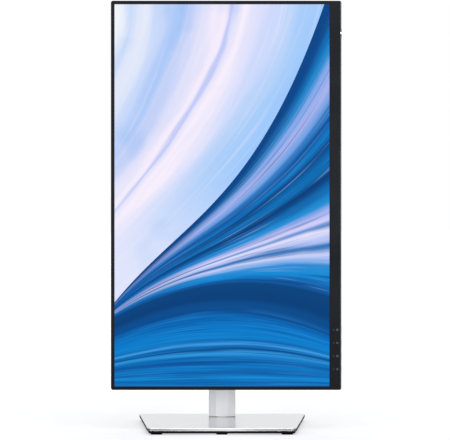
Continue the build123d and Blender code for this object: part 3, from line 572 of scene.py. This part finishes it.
def blank_label():
    """A thin film with nothing printed on it, its face slightly smaller than its back."""
    net = bmesh.new()
    outline = rounded_outline(LABEL_LOW, LABEL_HIGH, LABEL_CORNER)
    centre = (LABEL_LOW + LABEL_HIGH) / 2

    def ring(y, scale):
        places = [(centre.x + (x - centre.x) * scale, y, centre.z + (z - centre.z) * scale)
                  for x, z in outline]
        return [net.verts.new(place) for place in places]

    back = ring(LABEL_BACK_Y, 1.0)
    face = ring(LABEL_FACE_Y, LABEL_TAPER)
    net.faces.new(back)
    net.faces.new(reversed(face))
    for i in range(len(outline)):
        net.faces.new((back[i - 1], face[i - 1], face[i], back[i]))
    bmesh.ops.recalc_face_normals(net, faces=net.faces)
    film = moulded("label_film", "c9cacc", "c2c4c6", 0.3, depth=0.000002)
    label = new_object("rating_label", net, film)
    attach(label, "head")


blank_label()


# ---- Stage ----
SHEET_STEPS = 8          # squares along each side of a stage sheet
FLOOR_HALF = 40.0        # half the size of the floor
FLOOR_GLOW = 0.48
CARD_HALF = 0.6          # the graded card under the base: half its size, its centre and height
CARD_Y = -0.2
CARD_LIFT = 0.0004
CARD_FADE = 0.095        # from its bright middle to its dark ends
CARD_MIDDLE = 0.6
CARD_ENDS = 0.0

# The studio's brightness by direction, and where it changes, in parts of a unit direction.
PANEL_LIGHT = 1.15
GAP_LIGHT = 0.42
SIDE_LIGHT = 1.1
BACK_LIGHT = 0.96
TOP_LIGHT = 1.0
PANEL_EDGE = (0.10, 0.03)
SIDE_EDGE = (0.22, 0.6)
BACK_EDGE = (-0.3, 0.3)
TOP_EDGE = (0.35, 0.9)

SUN_POWER = 0.9
SUN_PLACE = (0.3, -0.6, 2.0)
SUN_ANGLE = 1.2          # radians across, which softens its shadows
BOX_POWER = 30.0
BOX_PLACE = (0.0, -3.2, 0.55)
BOX_AIM = (0.0, 0.0, 0.05)
BOX_SIZE = 1.5

CAMERA_PLACE = (0.00415, -2.581, 0.290)
LENS = 143.8             # millimetres, on a sensor 36 wide
SENSOR = 36.0
CLIP_END = 200.0


def stage_sheet(name, half, place, paper):
    """A level square of the studio, which isn't part of the object."""
    net = bmesh.new()
    bmesh.ops.create_grid(net, x_segments=SHEET_STEPS, y_segments=SHEET_STEPS, size=half)
    bmesh.ops.translate(net, vec=place, verts=net.verts)
    sheet = new_object(name, net, paper)
    return sheet


def floor_plane():
    """A wide, pale studio floor."""
    paper = surface("studio_floor", "bfc0c2", "bbbcbe", 0.6, grain=60.0, depth=0.0)
    paper.set(Emission_Color=srgb("fafbfc"), Emission_Strength=FLOOR_GLOW, Specular_IOR_Level=0.1)
    stage_sheet("floor", FLOOR_HALF, (0.0, 0.0, 0.0), paper.owner)


def gloss_card():
    """A graded card on the floor round the base, seen only in its gloss: bright in the middle."""
    n = Nodes(bpy.data.materials.new("card_paper"))
    aside = n.math("ABSOLUTE", n.axes()["X"])
    level = n.spread(aside, 0.0, CARD_FADE, CARD_MIDDLE, CARD_ENDS)
    n.set(Base_Color=grey(0.0), Emission_Color=n.vector(level, level, level), Emission_Strength=1.0)
    n.set(Specular_IOR_Level=0.0)
    card = stage_sheet("gloss_card", CARD_HALF, (0.0, CARD_Y, CARD_LIFT), n.owner)
    for ray in ("camera", "diffuse", "shadow", "transmission", "volume_scatter"):
        setattr(card, "visible_" + ray, False)


def add_light(name, kind, power, place, aim, **settings):
    data = bpy.data.lights.new(name, kind)
    data.energy = power
    for key, value in settings.items():
        setattr(data, key, value)
    light = bpy.data.objects.new(name, data)
    light.location = place
    light.rotation_euler = (Vector(aim) - Vector(place)).to_track_quat("-Z", "Y").to_euler()
    bpy.context.scene.collection.objects.link(light)


def studio_world():
    """White to the camera. For the rest: bright above, behind and at the sides, a narrow bright
    panel straight in front, and dimmer gaps beside that panel."""
    world = bpy.data.worlds.new("studio")
    bpy.context.scene.world = world
    n = Nodes(world, "Background", "Generated")
    x, y, z = n.axes()
    aside = n.math("ABSOLUTE", x)
    panel = n.math("MULTIPLY", n.step(aside, *PANEL_EDGE), PANEL_LIGHT - GAP_LIGHT)
    side = n.math("MULTIPLY", n.step(aside, *SIDE_EDGE), SIDE_LIGHT - GAP_LIGHT)
    front = n.math("ADD", n.math("ADD", panel, side), GAP_LIGHT)
    level = n.mix(n.step(y, *BACK_EDGE), n.vector(front, front, front), grey(BACK_LIGHT))
    lifted = n.mix(n.step(z, *TOP_EDGE), level, grey(TOP_LIGHT))
    seen = n.add("ShaderNodeLightPath").outputs["Is Camera Ray"]
    n.set(Color=n.mix(seen, lifted, grey(1.0)))


def camera():
    """Level, and far enough back for the photograph's flat perspective."""
    data = bpy.data.cameras.new("camera")
    data.lens = LENS
    data.sensor_width = SENSOR
    data.clip_end = CLIP_END
    view = bpy.data.objects.new("camera", data)
    view.location = CAMERA_PLACE
    view.rotation_euler = (math.pi / 2, 0.0, 0.0)
    bpy.context.scene.collection.objects.link(view)
    bpy.context.scene.camera = view


floor_plane()
studio_world()
add_light("sky", "SUN", SUN_POWER, SUN_PLACE, (0.0, 0.0, 0.0), angle=SUN_ANGLE)
add_light("front_box", "AREA", BOX_POWER, BOX_PLACE, BOX_AIM, shape="SQUARE", size=BOX_SIZE)
gloss_card()
camera()
bpy.context.scene.view_settings.view_transform = "Standard"
